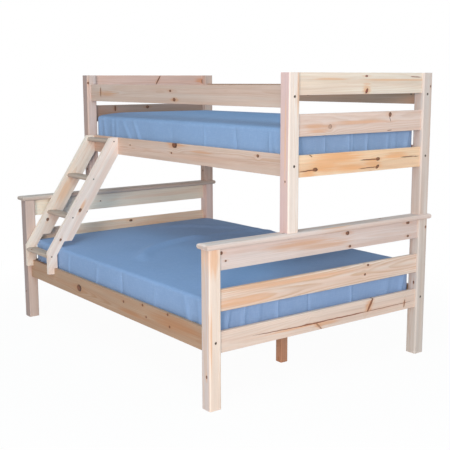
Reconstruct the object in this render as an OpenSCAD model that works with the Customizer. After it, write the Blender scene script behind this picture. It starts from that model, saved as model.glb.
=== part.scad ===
// Triple bunk bed in unfinished pine: a single bed that stands on the caps of a double bed,
// with a leaning ladder hooked over the double's front rail.
// X runs along the beds with the foot end at +X, Y runs across with the ladder side at -Y,
// Z is up, and the origin is on the floor under the middle of the double bed.

/* [Beds] */
// Length of both beds over their posts
bed_l = 2050; // [1950:5:2250]
// Width of the double bed over its posts
double_w = 1452; // [1300:2:1600]
// Width of the single bed over its posts
single_w = 994; // [900:2:1100]
// Length of every post
post_h = 750; // [720:5:900]
// Side of the square posts
post_s = 66; // [56:1:75]
// Radius of the posts' arrises
post_r = 8; // [2:0.5:12]

/* [Rails] */
// Thickness of every rail
rail_t = 22; // [18:1:26]
// Radius of the rails' arrises
rail_r = 3; // [1:0.5:5]
// Setback of the side and guard rails from the posts' long faces
side_inset = 24; // [16:1:28]
// Setback of the end rails from the posts' end faces
end_inset = 12; // [8:1:14]
// Height of the double's end rails
double_end_h = 101; // [80:1:105]
// Height of the double's side rails
double_side_h = 112; // [100:1:125]
// Height of every rail of the single bed
single_rail_h = 105; // [90:1:115]
// Underside of the double's bottom rails above the floor
double_bottom_z = 264; // [220:1:290]
// Underside of the double's middle end rails above the floor
double_mid_z = 459; // [440:1:500]
// Underside of the single's bottom end rails above its post feet
single_bottom_z = 259; // [240:1:290]
// Underside of the single's side rails above its post feet
single_side_z = 263; // [240:1:290]
// Underside of the single's middle end rails above its post feet
single_mid_z = 452; // [420:1:480]
// Underside of the guard rails above the single's post feet
guard_z = 587; // [560:1:610]

/* [Caps] */
// Thickness of the moulded caps
cap_t = 26; // [20:1:32]
// Overhang of a cap past the posts' end faces
cap_over_x = 12; // [6:1:20]
// How far the caps reach past the posts' inner faces
cap_in_x = 6; // [4:1:20]
// Overhang of a cap past the posts' long faces
cap_over_y = 17; // [8:1:25]
// Radius of the caps' bull nose
cap_r = 11; // [4:0.5:12]

/* [Joints] */
// Length of the end rails' tenons
tenon_l = 17; // [10:1:17]
// Thickness of the end rails' tenons
tenon_t = 12; // [8:1:14]
// Shoulder above and below each tenon
tenon_shoulder = 12; // [6:1:20]
// Glue gap round tenons, dowels and pins
glue_gap = 0.1; // [0.05:0.05:0.3]
// Diameter of the frame bolts
bolt_d = 6; // [5:0.5:8]
// Reach of a frame bolt into its rail
bolt_reach = 52; // [46:1:70]
// Diameter of a bolt head
bolt_head_d = 13; // [11:0.5:15]
// Thickness of a bolt head
bolt_head_t = 4; // [3:0.5:5]
// Depth of the counterbore that hides a bolt head
counterbore = 5.5; // [5:0.5:8]
// Width of the hexagon socket in a bolt head
hex_w = 4; // [3:0.5:5]
// Clearance round bolts
bolt_gap = 0.5; // [0.2:0.1:0.7]
// Diameter of the barrel nuts
nut_d = 10; // [9:0.5:12]
// Length of the barrel nuts
nut_l = 17; // [15:1:17]
// Distance from a rail's end to its barrel nut
nut_back = 38; // [30:1:40]
// Diameter of the rail dowels
dowel_d = 8; // [6:0.5:10]
// Length of the rail dowels
dowel_l = 30; // [20:1:34]
// Height of the rail dowels above and below the bolt
dowel_rise = 32; // [20:1:36]
// Diameter of the pins between the beds
pin_d = 10; // [8:0.5:12]
// Reach of a pin into a post
pin_reach = 30; // [20:1:45]
// Reach of the front cap dowels into cap and post
cap_dowel_reach = 18; // [10:1:19]

/* [Bases] */
// Rise of the slats' underside above the side rails' underside
slat_rise = 46; // [40:1:50]
// Thickness of the slats
slat_t = 18; // [12:1:22]
// Width of a slat
slat_w = 70; // [40:1:80]
// Number of slats under each mattress
slat_count = 14; // [10:1:16]
// Distance from a post's inner face to the first slat
slat_margin = 30; // [10:1:80]
// End gap of the slats to each side rail
slat_gap = 3; // [1:1:8]
// Thickness of the cleats that carry the slats
cleat_t = 22; // [18:1:30]
// Height of the cleats
cleat_h = 40; // [25:1:40]
// Side of the centre beam and its legs
beam_s = 45; // [38:1:45]
// Distance of each centre leg from the bed's end
leg_inset = 353; // [200:1:600]
// Width of the notched cradles at the beam's ends
cradle_w = 105; // [85:1:140]
// Thickness of the cradles
cradle_t = 24; // [18:1:30]
// Depth of the notches under the beam's ends, which sit on the cradles
beam_notch = 20; // [16:1:24]

/* [Ladder] */
// Width of the ladder over its stiles
ladder_w = 332; // [300:2:450]
// Gap between the ladder and the head cap
ladder_gap = 1; // [0.5:0.5:10]
// Width of a stile's board
stile_w = 100; // [85:1:110]
// Thickness of a stile's board
stile_t = 26; // [20:1:30]
// Height of the stiles' heels above the double's side rail
heel_rise = 79; // [60:1:110]
// Height of the stiles' notch above the double's side rail
notch_rise = 157; // [150:1:180]
// Depth of the stiles' notch
notch_d = 50; // [40:1:60]
// Thickness of the lip that hangs in front of the side rail
lip_t = 36; // [28:1:38]
// Drop of the lip below the rail's top edge
lip_h = 35; // [20:1:60]
// Rise from the double's side rail to the middle of the bottom tread
first_tread = 72; // [60:1:90]
// Drop from the stiles' tops to the middle of the top tread
top_drop = 24; // [18:1:60]
// Number of treads
tread_count = 4; // [4]
// Depth of the treads
tread_d = 64; // [50:1:64]
// Thickness of the treads
tread_t = 24; // [18:1:30]
// Setback of the treads' noses from the stiles' front edges
tread_set = 13; // [10:1:20]
// Depth of the housings that hold the treads' ends
housing = 6; // [3:1:10]
// Diameter of the tread screws
screw_d = 4.5; // [3.5:0.5:6]
// Length of the tread screws
screw_l = 60; // [45:1:80]
// Setback of the tread screws from the treads' noses
screw_set = 26; // [14:1:32]

/* [Mattresses] */
// Gap from the mattresses' ends to the end rails
mattress_end_gap = 20; // [15:1:60]
// Gap beside the double mattress
double_mattress_gap = 10; // [4:1:30]
// Gap beside the single mattress
single_mattress_gap = 6; // [4:1:30]
// Thickness of the mattresses at their edges
mattress_t = 160; // [130:5:170]
// Rise of a mattress's crown above its edges
crown = 14; // [6:1:20]
// Radius of a mattress's top edge
top_edge_r = 35; // [30:1:60]
// Radius of a mattress's bottom edge
bottom_edge_r = 25; // [15:1:35]
// Radius of a mattress's corners seen from above
corner_r = 60; // [50:5:120]
// How far the mattress's sides draw in between its corners
draw_in = 5; // [0:1:10]

/* [Fit] */
// Gap between pieces that lift apart, and under the mattresses
seat_gap = 0.3; // [0.2:0.1:0.5]

/* [Hidden] */
$fn = 48;
half_l = bed_l / 2;
inner_x = half_l - post_s;              // inner faces of the posts
end_x = half_l - end_inset - rail_t;    // inner faces of the end rails
deck_z = post_h + cap_t;                // top of the caps, where the single bed stands
single_y = (double_w - single_w) / 2;   // the beds are flush along the wall side
double_top_z = post_h - double_end_h;   // top end rails close under the caps
single_top_z = post_h - single_rail_h;  // top end rails are flush with the post tops
bolt_in = side_inset + rail_t / 2;      // bolts run through the middle of the rails
double_slat_z = double_bottom_z + slat_rise;
mattress_l = 2 * (end_x - mattress_end_gap);
double_mattress_w = double_w - 2 * (side_inset + rail_t + double_mattress_gap);
single_mattress_w = single_w - 2 * (side_inset + rail_t + single_mattress_gap);
single_slat_z = deck_z + single_side_z + slat_rise;

// Rail levels, each the underside and the height
double_ends = [[double_bottom_z, double_end_h], [double_mid_z, double_end_h], [double_top_z, double_end_h]];
double_sides = [[double_bottom_z, double_side_h]];
single_ends = [[single_bottom_z, single_rail_h], [single_mid_z, single_rail_h],
    [single_top_z, single_rail_h]];
single_sides = [[single_side_z, single_rail_h], [guard_z, single_rail_h]];

// Ladder lines in the Y-Z plane
hook_y = -double_w / 2 + side_inset - seat_gap;               // face of the double's front rail
hook_z = double_bottom_z + double_side_h + seat_gap;          // its top edge
foot_y = hook_y + seat_gap + rail_t - 0.5;                    // just short of its inner face
bear_y = single_y - single_w / 2 + side_inset - seat_gap;     // face of the single's front rail
bear_z0 = deck_z + single_side_z;
bear_z1 = bear_z0 + single_rail_h;
lip_y = hook_y - lip_t;
notch_z = hook_z + notch_rise;
stile_x0 = -inner_x + cap_in_x + ladder_gap;
// The stiles' rear edges run from the single's front rail down to their heels
ladder_slope = atan2(bear_z0 - hook_z - heel_rise, bear_y - foot_y - notch_d);
tread_rise = (bear_z1 - top_drop - hook_z - first_tread) / (tread_count - 1);
tread_l = ladder_w - 2 * stile_t + 2 * housing;
function rear_y(z) = bear_y - (bear_z0 - z) / tan(ladder_slope);
function front_y(z) = rear_y(z) - stile_w / sin(ladder_slope);
function front_z(y) = bear_z0 - (bear_y - stile_w / sin(ladder_slope) - y) * tan(ladder_slope);
function tread_mid(i) = hook_z + first_tread + i * tread_rise;
function nose_y(i) = front_y(tread_mid(i)) + tread_set;
// A tread stops short of the mattress below the notch, and of the single's front rail above it
function tread_depth(i) = min(tread_d, (tread_mid(i) < notch_z ? foot_y : bear_y) - nose_y(i));

pine = [0.89, 0.81, 0.72];
pink_pine = [0.87, 0.76, 0.68];
tan_pine = [0.76, 0.62, 0.47];
grey_pine = [0.70, 0.64, 0.57];
steel = [0.34, 0.32, 0.30];
beech = [0.80, 0.66, 0.50];
double_blue = [0.48, 0.61, 0.78];
single_blue = [0.45, 0.59, 0.78];

// A rectangle with rounded corners, from the origin
module rounded(w, h, r) {
    translate([r, 0]) square([w - 2 * r, h]);
    translate([0, r]) square([w, h - 2 * r]);
    for (x = [r, w - r], y = [r, h - r]) translate([x, y]) circle(r);
}

// Bars along each axis, from the origin
module bar_x(l, w, h, r) { rotate([90, 0, 90]) linear_extrude(l) rounded(w, h, r); }
module bar_y(l, w, h, r) { translate([0, l, 0]) rotate([90, 0, 0]) linear_extrude(l) rounded(w, h, r); }

module rod_x(x, l, d) { translate([x, 0, 0]) rotate([0, 90, 0]) cylinder(h = l, d = d); }

// A child drawn at the foot-front corner of a bed of width w, put at any of its corners
module corner(foot, front, w) {
    mirror([foot ? 0 : 1, 0, 0]) mirror([0, front ? 0 : 1, 0])
        translate([inner_x, -w / 2, 0]) children();
}

module all_corners(w) {
    for (foot = [true, false], front = [true, false]) corner(foot, front, w) children();
}

// A child drawn on the double bed, moved to the single bed
module on_single() { translate([0, single_y, deck_z]) children(); }

// Bores at a post for the bolts and dowels of the side rails, from its foot-front corner
module rail_bores(sides, gap, reach) {
    for (s = sides) translate([0, bolt_in, s[0] + s[1] / 2]) {
        rod_x(-reach, post_s + reach + 1, bolt_d + 2 * bolt_gap);
        rod_x(post_s - counterbore, counterbore + 1, bolt_head_d + 2 * bolt_gap);
        for (z = [-dowel_rise, dowel_rise]) translate([0, 0, z])
            rod_x(-dowel_l / 2 - 1, dowel_l + 2, dowel_d + 2 * gap);
    }
}

module tenon(h, gap) {
    translate([rail_t / 2 - tenon_t / 2 - gap, 0, tenon_shoulder - gap])
        cube([tenon_t + 2 * gap, tenon_l + gap, h - 2 * tenon_shoulder + 2 * gap]);
}

// A post at the foot-front corner: rounded arrises, three mortises and the bores of its rails
module post(ends, sides) {
    difference() {
        linear_extrude(post_h) rounded(post_s, post_s, post_r);
        for (e = ends) translate([end_x - inner_x, post_s - tenon_l - glue_gap, e[0]]) tenon(e[1], glue_gap);
        rail_bores(sides, glue_gap, 1);
    }
}

module double_post(foot, front) {
    color(pine) corner(foot, front, double_w) difference() {
        post(double_ends, double_sides);
        translate([post_s / 2, post_s / 2, post_h - (front ? cap_dowel_reach : pin_reach) - 1])
            cylinder(h = pin_reach + 2, d = pin_d + 2 * glue_gap);
    }
}

module single_post(foot, front) {
    color(front ? pink_pine : pine) on_single() corner(foot, front, single_w) difference() {
        post(single_ends, single_sides);
        translate([post_s / 2, post_s / 2, -1])
            cylinder(h = pin_reach + 2, d = pin_d + 4 * glue_gap);
    }
}

// An end rail of the foot end with a stub tenon at each end
module end_rail(w, e) {
    l = w - 2 * post_s;
    translate([end_x, -l / 2, e[0]]) {
        bar_y(l, rail_t, e[1], rail_r);
        translate([0, -tenon_l, 0]) tenon(e[1], 0);
        translate([0, l, 0]) tenon(e[1], 0);
    }
}

module double_end_rail(i, foot) {
    color(pine) mirror([foot ? 0 : 1, 0, 0]) end_rail(double_w, double_ends[i]);
}

module single_end_rail(i, foot) {
    color(pine) on_single() mirror([foot ? 0 : 1, 0, 0]) end_rail(single_w, single_ends[i]);
}

// A moulded cap: a bull nose on all four sides, bored for pins and dowels
module cap(foot) {
    w = post_s + cap_in_x + cap_over_x;
    l = double_w + 2 * cap_over_y;
    color(pine) mirror([foot ? 0 : 1, 0, 0]) difference() {
        translate([half_l - post_s - cap_in_x, -l / 2, post_h]) intersection() {
            bar_y(l, w, cap_t, cap_r);
            bar_x(w, l, cap_t, cap_r);
        }
        for (y = pin_ys()) translate([half_l - post_s / 2, y, post_h - 1])
            cylinder(h = cap_t + 2, d = pin_d + 2 * glue_gap);
        translate([half_l - post_s / 2, -double_w / 2 + post_s / 2, post_h - 1])
            cylinder(h = cap_dowel_reach + 2, d = pin_d + 2 * glue_gap);
    }
}

// Y of the pins: the middles of the single bed's posts
function pin_ys() = [for (s = [-1, 1]) single_y + s * (single_w - post_s) / 2];

// Pins through the caps: the wall-side pair also reach into the double's posts
module pins() {
    for (foot = [-1, 1], y = pin_ys()) {
        down = y > 0 ? pin_reach : 0;
        translate([foot * (half_l - post_s / 2), y, post_h - down])
            cylinder(h = down + cap_t + pin_reach, d = pin_d);
    }
}

module front_cap_dowels() {
    for (foot = [-1, 1])
        translate([foot * (half_l - post_s / 2), -double_w / 2 + post_s / 2, post_h - cap_dowel_reach])
            cylinder(h = 2 * cap_dowel_reach, d = pin_d);
}

// A long rail on the front side, bored at both ends for its bolt, nut and dowels
module side_rail(w, s) {
    difference() {
        translate([-inner_x, -w / 2 + side_inset, s[0]]) bar_x(2 * inner_x, rail_t, s[1], rail_r);
        for (foot = [true, false]) corner(foot, true, w) {
            rail_bores([s], glue_gap, bolt_reach + 2);
            translate([-nut_back, side_inset + rail_t - nut_l - 1, s[0] + s[1] / 2])
                rotate([-90, 0, 0]) cylinder(h = nut_l + 2, d = nut_d + 2 * glue_gap);
        }
    }
}

module double_side(front) {
    color(tan_pine) mirror([0, front ? 0 : 1, 0]) side_rail(double_w, double_sides[0]);
}

module single_side(i, front) {
    color(pine) on_single() mirror([0, front ? 0 : 1, 0]) side_rail(single_w, single_sides[i]);
}

// Frame bolts: a low head with a hexagon socket, and a shank into the rail
module bolts(w, sides) {
    all_corners(w) for (s = sides) translate([0, bolt_in, s[0] + s[1] / 2]) {
        rod_x(-bolt_reach, post_s - counterbore + bolt_reach, bolt_d);
        difference() {
            rod_x(post_s - counterbore, bolt_head_t, bolt_head_d);
            translate([post_s - counterbore + 1, 0, 0]) rotate([0, 90, 0])
                cylinder(h = bolt_head_t, d = hex_w / cos(30), $fn = 6);
        }
    }
}

// Barrel nuts: a steel cylinder across the rail with a hole for the bolt
module barrel_nuts(w, sides) {
    all_corners(w) for (s = sides)
        translate([-nut_back, side_inset + rail_t - nut_l, s[0] + s[1] / 2]) difference() {
            rotate([-90, 0, 0]) cylinder(h = nut_l, d = nut_d);
            translate([0, nut_l - rail_t / 2, 0]) rod_x(-nut_d, 2 * nut_d, bolt_d + 2 * glue_gap);
        }
}

module rail_dowels(w, sides) {
    all_corners(w) for (s = sides, z = [-dowel_rise, dowel_rise])
        translate([0, bolt_in, s[0] + s[1] / 2 + z]) rod_x(-dowel_l / 2, dowel_l, dowel_d);
}

// A cleat along the inner face of a front side rail, under the slats' ends
module cleat(w, z) {
    translate([-inner_x + slat_gap, -w / 2 + side_inset + rail_t, z - cleat_h])
        bar_x(2 * (inner_x - slat_gap), cleat_t, cleat_h, rail_r);
}

// Slats from rail to rail, evenly spaced between the posts
module slats(w, z) {
    l = w - 2 * (side_inset + rail_t + slat_gap);
    run = 2 * (inner_x - slat_margin) - slat_w;
    for (i = [0 : slat_count - 1])
        translate([-run / 2 - slat_w / 2 + i * run / (slat_count - 1), -l / 2, z])
            bar_y(l, slat_w, slat_t, rail_r);
}

// The centre beam, with its ends notched underneath to sit down into the cradles
module beam() {
    difference() {
        translate([-end_x, -beam_s / 2, double_slat_z - beam_s]) bar_x(2 * end_x, beam_s, beam_s, rail_r);
        for (side = [0, 1]) mirror([side, 0, 0])
            translate([end_x - cradle_t - seat_gap, -beam_s, double_slat_z - 2 * beam_s])
                cube([cradle_t + beam_s, 2 * beam_s, beam_s + beam_notch]);
    }
}

module centre_leg(side) {
    translate([side * (half_l - leg_inset) - beam_s / 2, -beam_s / 2, 0])
        linear_extrude(double_slat_z - beam_s) rounded(beam_s, beam_s, rail_r);
}

// A notched block on the inner face of a bottom end rail, in which the beam's end lies
module cradle(foot) {
    cradle_z = double_bottom_z + rail_r;
    mirror([foot ? 0 : 1, 0, 0]) difference() {
        translate([end_x - cradle_t, -cradle_w / 2, cradle_z])
            cube([cradle_t, cradle_w, double_slat_z + slat_t - cradle_z]);
        translate([end_x - cradle_t - 1, -beam_s / 2, double_slat_z - beam_s + beam_notch])
            cube([cradle_t + 2, beam_s, 2 * beam_s]);
    }
}

// The stile's outline in the Y-Z plane: a plumb cut against the upper rail, a notch
// that clears the mattress, and a lip hooked over the lower rail
module stile_outline() {
    notch_y = rear_y(notch_z) - notch_d;
    polygon([
        [front_y(bear_z1), bear_z1], [bear_y, bear_z1], [bear_y, bear_z0],
        [rear_y(notch_z), notch_z], [notch_y, notch_z],
        [foot_y, notch_z - (notch_y - foot_y) * tan(ladder_slope)],
        [foot_y, hook_z], [hook_y, hook_z], [hook_y, hook_z - lip_h],
        [lip_y, hook_z - lip_h], [lip_y, front_z(lip_y)]
    ]);
}

// A tread's section: square at the back, bull-nosed in front
module tread_section(i, gap) {
    r = tread_t / 2;
    translate([nose_y(i), tread_mid(i) - r]) {
        translate([r, -gap]) square([tread_depth(i) - r + gap, tread_t + 2 * gap]);
        translate([r, r]) circle(r + gap);
    }
}

module tread(i) {
    color(grey_pine) translate([stile_x0 + stile_t - housing, 0, 0]) difference() {
        rotate([90, 0, 90]) linear_extrude(tread_l) tread_section(i, 0);
        for (side = [0, 1]) translate([side * tread_l, nose_y(i) + screw_set, tread_mid(i)])
            rod_x(-screw_l, 2 * screw_l, screw_d + 2 * glue_gap);
    }
}

// A stile with its inner face at x = stile_t, housed for the treads and bored for the screws
module stile() {
    difference() {
        rotate([90, 0, 90]) linear_extrude(stile_t) stile_outline();
        for (i = [0 : tread_count - 1]) {
            translate([stile_t - housing - glue_gap, 0, 0]) rotate([90, 0, 90])
                linear_extrude(housing + 1) tread_section(i, glue_gap);
            translate([0, nose_y(i) + screw_set, tread_mid(i)]) screw_bore();
        }
    }
}

module screw_bore() {
    rod_x(-1, stile_t + 2, screw_d + 2 * glue_gap);
    rotate([0, 90, 0]) translate([0, 0, -0.01])
        cylinder(h = screw_d / 2 + 2 * glue_gap, d1 = 2 * screw_d + 4 * glue_gap, d2 = screw_d);
}

module right_side() { translate([stile_x0 + ladder_w, 0, 0]) mirror([1, 0, 0]) children(); }
module left_side() { translate([stile_x0, 0, 0]) children(); }

module screws_of_a_stile() {
    for (i = [0 : tread_count - 1]) translate([0, nose_y(i) + screw_set, tread_mid(i)]) rotate([0, 90, 0]) {
        cylinder(h = screw_d / 2, d1 = 2 * screw_d, d2 = screw_d);
        cylinder(h = screw_l, d = screw_d);
    }
}

// A mattress as stacked rings: flat below, rounded edges, sides drawn in, a crown on top.
// Each ring is an inset from the outline and a height.
arc_steps = 5;
function arc(r, from, to) = [for (i = [0 : arc_steps]) let (a = from + (to - from) * i / arc_steps)
    [r * (1 - cos(a)), r * sin(a)]];
function side_rings(t) = concat(
    [for (p = arc(bottom_edge_r, -90, 0)) [p[0], bottom_edge_r + p[1]]],
    [for (p = arc(top_edge_r, 0, 90)) [p[0], t - top_edge_r + p[1]]]);

// Corner points of an outline with half sizes a and b, and a straight run between corners
corner_steps = 6;
edge_steps = 3;
function corner_arc(a, b, r, q) = [for (i = [0 : corner_steps]) let (u = 90 * (q + i / corner_steps))
    [(q == 0 || q == 3 ? a - r : r - a) + r * cos(u), (q < 2 ? b - r : r - b) + r * sin(u)]];
function edge_run(p, q) = [for (i = [1 : edge_steps]) let (f = i / (edge_steps + 1))
    [p[0] + (q[0] - p[0]) * f, p[1] + (q[1] - p[1]) * f] * (1 - draw_in / norm(p + q) * 2 * sin(180 * f))];
function outline(a, b, r) = let (c = [for (q = [0 : 3]) corner_arc(a, b, r, q)])
    [for (q = [0 : 3]) each concat(c[q], edge_run(c[q][corner_steps], c[(q + 1) % 4][0]))];

// Rings that climb from the top edge to the crown, by their share of the half sizes
crown_shares = [0.85, 0.65, 0.4, 0.15];

module mattress(l, w, z) {
    a = l / 2;
    b = w / 2;
    rim_a = a - top_edge_r;
    rim_b = b - top_edge_r;
    rings = concat(
        [for (s = side_rings(mattress_t))
            [for (p = outline(a - s[0], b - s[0], corner_r - s[0])) [p[0], p[1], z + s[1]]]],
        [for (f = crown_shares) [for (p = outline(rim_a, rim_b, corner_r - top_edge_r))
            [p[0] * f, p[1] * f, z + mattress_t + crown * cos(90 * f)]]]);
    n = len(rings[0]);
    m = len(rings);
    points = concat([for (r = rings) each r], [[0, 0, z], [0, 0, z + mattress_t + crown]]);
    polyhedron(points, concat(
        [for (k = [0 : m - 2], i = [0 : n - 1]) each let (j = (i + 1) % n)
            [[k * n + i, k * n + n + i, k * n + j], [k * n + j, k * n + n + i, k * n + n + j]]],
        [for (i = [0 : n - 1]) [m * n, i, (i + 1) % n]],
        [for (i = [0 : n - 1]) [m * n + 1, (m - 1) * n + (i + 1) % n, (m - 1) * n + i]]));
}

module double_post_foot_front() { double_post(true, true); }
module double_post_foot_back() { double_post(true, false); }
module double_post_head_front() { double_post(false, true); }
module double_post_head_back() { double_post(false, false); }
module double_cap_foot() { cap(true); }
module double_cap_head() { cap(false); }
module double_bottom_rail_foot() { double_end_rail(0, true); }
module double_mid_rail_foot() { double_end_rail(1, true); }
module double_top_rail_foot() { double_end_rail(2, true); }
module double_bottom_rail_head() { double_end_rail(0, false); }
module double_mid_rail_head() { double_end_rail(1, false); }
module double_top_rail_head() { double_end_rail(2, false); }
module double_side_rail_front() { double_side(true); }
module double_side_rail_back() { double_side(false); }
module double_cleat_front() { color(pine) cleat(double_w, double_slat_z); }
module double_cleat_back() { color(pine) mirror([0, 1, 0]) cleat(double_w, double_slat_z); }
module centre_beam() { color(tan_pine) beam(); }
module centre_leg_foot() { color(tan_pine) centre_leg(1); }
module centre_leg_head() { color(tan_pine) centre_leg(-1); }
module beam_cradle_foot() { color(tan_pine) cradle(true); }
module beam_cradle_head() { color(tan_pine) cradle(false); }
module double_slats() { color(pine) slats(double_w, double_slat_z); }
module double_bolts() { color(steel) bolts(double_w, double_sides); }
module double_barrel_nuts() { color(steel) barrel_nuts(double_w, double_sides); }
module double_rail_dowels() { color(beech) rail_dowels(double_w, double_sides); }
module locating_pins() { color(steel) pins(); }
module cap_dowels() { color(beech) front_cap_dowels(); }
module double_mattress() {
    color(double_blue) mattress(mattress_l, double_mattress_w, double_slat_z + slat_t + seat_gap);
}
module single_post_foot_front() { single_post(true, true); }
module single_post_foot_back() { single_post(true, false); }
module single_post_head_front() { single_post(false, true); }
module single_post_head_back() { single_post(false, false); }
module single_bottom_rail_foot() { single_end_rail(0, true); }
module single_mid_rail_foot() { single_end_rail(1, true); }
module single_top_rail_foot() { single_end_rail(2, true); }
module single_bottom_rail_head() { single_end_rail(0, false); }
module single_mid_rail_head() { single_end_rail(1, false); }
module single_top_rail_head() { single_end_rail(2, false); }
module single_side_rail_front() { single_side(0, true); }
module single_side_rail_back() { single_side(0, false); }
module guard_rail_front() { single_side(1, true); }
module guard_rail_back() { single_side(1, false); }
module single_cleat_front() { color(pine) translate([0, single_y, 0]) cleat(single_w, single_slat_z); }
module single_cleat_back() {
    color(pine) translate([0, single_y, 0]) mirror([0, 1, 0]) cleat(single_w, single_slat_z);
}
module single_slats() { color(pine) translate([0, single_y, 0]) slats(single_w, single_slat_z); }
module single_bolts() { color(steel) on_single() bolts(single_w, single_sides); }
module single_barrel_nuts() { color(steel) on_single() barrel_nuts(single_w, single_sides); }
module single_rail_dowels() { color(beech) on_single() rail_dowels(single_w, single_sides); }
module single_mattress() {
    color(single_blue) translate([0, single_y, 0])
        mattress(mattress_l, single_mattress_w, single_slat_z + slat_t + seat_gap);
}
module ladder_stile_left() { color(pink_pine) left_side() stile(); }
module ladder_stile_right() { color(pine) right_side() stile(); }
module ladder_tread_1() { tread(0); }
module ladder_tread_2() { tread(1); }
module ladder_tread_3() { tread(2); }
module ladder_tread_4() { tread(3); }
module ladder_screws() {
    color(steel) {
        left_side() screws_of_a_stile();
        right_side() screws_of_a_stile();
    }
}

double_post_foot_front();
double_post_foot_back();
double_post_head_front();
double_post_head_back();
double_cap_foot();
double_cap_head();
double_bottom_rail_foot();
double_mid_rail_foot();
double_top_rail_foot();
double_bottom_rail_head();
double_mid_rail_head();
double_top_rail_head();
double_side_rail_front();
double_side_rail_back();
double_cleat_front();
double_cleat_back();
centre_beam();
centre_leg_foot();
centre_leg_head();
beam_cradle_foot();
beam_cradle_head();
double_slats();
double_bolts();
double_barrel_nuts();
double_rail_dowels();
locating_pins();
cap_dowels();
double_mattress();
single_post_foot_front();
single_post_foot_back();
single_post_head_front();
single_post_head_back();
single_bottom_rail_foot();
single_mid_rail_foot();
single_top_rail_foot();
single_bottom_rail_head();
single_mid_rail_head();
single_top_rail_head();
single_side_rail_front();
single_side_rail_back();
guard_rail_front();
guard_rail_back();
single_cleat_front();
single_cleat_back();
single_slats();
single_bolts();
single_barrel_nuts();
single_rail_dowels();
single_mattress();
ladder_stile_left();
ladder_stile_right();
ladder_tread_1();
ladder_tread_2();
ladder_tread_3();
ladder_tread_4();
ladder_screws();
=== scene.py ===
"""Looks of the triple bunk bed: unfinished pine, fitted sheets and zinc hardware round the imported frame."""

import math
import random
from functools import reduce

import bmesh
import bpy
from mathutils import Matrix, Vector, noise


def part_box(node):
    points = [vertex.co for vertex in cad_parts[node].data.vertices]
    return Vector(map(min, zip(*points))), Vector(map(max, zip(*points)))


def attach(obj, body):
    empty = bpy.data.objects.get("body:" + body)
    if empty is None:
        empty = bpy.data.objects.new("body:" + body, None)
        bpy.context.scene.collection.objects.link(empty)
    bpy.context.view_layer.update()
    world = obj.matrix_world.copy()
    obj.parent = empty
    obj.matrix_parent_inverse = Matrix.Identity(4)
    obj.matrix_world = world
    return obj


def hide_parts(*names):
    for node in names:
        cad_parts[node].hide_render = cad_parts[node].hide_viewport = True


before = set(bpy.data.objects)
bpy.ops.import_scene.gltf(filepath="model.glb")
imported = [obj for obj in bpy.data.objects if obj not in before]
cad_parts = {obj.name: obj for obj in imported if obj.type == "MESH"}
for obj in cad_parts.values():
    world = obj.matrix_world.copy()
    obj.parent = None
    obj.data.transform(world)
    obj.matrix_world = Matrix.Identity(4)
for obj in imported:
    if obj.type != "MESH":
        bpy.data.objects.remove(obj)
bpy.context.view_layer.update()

# Camera. It stands beyond the foot end on the ladder side, at about an adult's eye height,
# and looks down on the bed a little. Its place, turn and lens were fitted to the bed's corners.
heading, tilt, roll = 2.504254, -0.169204, -0.003755
ahead = Vector((math.cos(tilt) * math.cos(heading), math.cos(tilt) * math.sin(heading), math.sin(tilt)))
level = Vector((math.sin(heading), -math.cos(heading), 0.0))
upright = level.cross(ahead)
side = math.cos(roll) * level + math.sin(roll) * upright
top = math.cos(roll) * upright - math.sin(roll) * level
camera = bpy.data.objects.new("camera", bpy.data.cameras.new("camera"))
camera.data.sensor_width = 36
camera.data.lens = 67.62
camera.data.clip_end = 60
eye = Matrix.Translation((4.0004, -2.8405, 1.4894))
camera.matrix_world = eye @ Matrix((side, top, -ahead)).transposed().to_4x4()
bpy.context.scene.collection.objects.link(camera)
bpy.context.scene.camera = camera


# Studio. A white floor without an edge, and large soft lamps: a warm one beside the camera
# on the ladder side, a cooler one off the foot end, and a faint one above.
def srgb(r, g, b):
    """A colour as seen on screen, 0 to 255, as the linear values that shaders take."""
    shares = (r / 255, g / 255, b / 255)
    return tuple(c / 12.92 if c <= 0.04045 else ((c + 0.055) / 1.055) ** 2.4 for c in shares) + (1,)


def feed(tree, socket, value):
    """Gives a socket a number, a colour or another node's output."""
    if isinstance(value, (int, float, tuple, Vector)):
        socket.default_value = value
    else:
        tree.links.new(value, socket)


def math_node(tree, operation, *values, clamp=False):
    at = tree.nodes.new("ShaderNodeMath")
    at.operation = operation
    at.use_clamp = clamp
    for socket, value in zip(at.inputs, values):
        feed(tree, socket, value)
    return at.outputs[0]


def vector_node(tree, operation, *values):
    at = tree.nodes.new("ShaderNodeVectorMath")
    at.operation = operation
    for socket, value in zip(at.inputs, values):
        feed(tree, socket, value)
    return at.outputs["Value" if operation in ("LENGTH", "DOT_PRODUCT") else "Vector"]


def step_node(tree, value, low, high, to_low=0.0, to_high=1.0):
    """Eases from to_low to to_high as value goes from low to high."""
    at = tree.nodes.new("ShaderNodeMapRange")
    at.interpolation_type = "SMOOTHSTEP"
    for socket, given_value in zip(at.inputs, (value, low, high, to_low, to_high)):
        feed(tree, socket, given_value)
    return at.outputs[0]


def new_material(name):
    """A new material, its node tree and its shader."""
    material = bpy.data.materials.new(name)
    material.use_nodes = True
    return material, material.node_tree, material.node_tree.nodes["Principled BSDF"]


def piece_of(name, bm):
    """A new piece with a bmesh's shape."""
    piece = bpy.data.objects.new(name, bpy.data.meshes.new(name))
    bm.to_mesh(piece.data)
    bm.free()
    bpy.context.scene.collection.objects.link(piece)
    return piece


def mix_shader(tree, share, first, second):
    at = tree.nodes.new("ShaderNodeMixShader")
    for socket, value in zip(at.inputs, (share, first, second)):
        tree.links.new(value, socket)
    return at.outputs[0]


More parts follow.
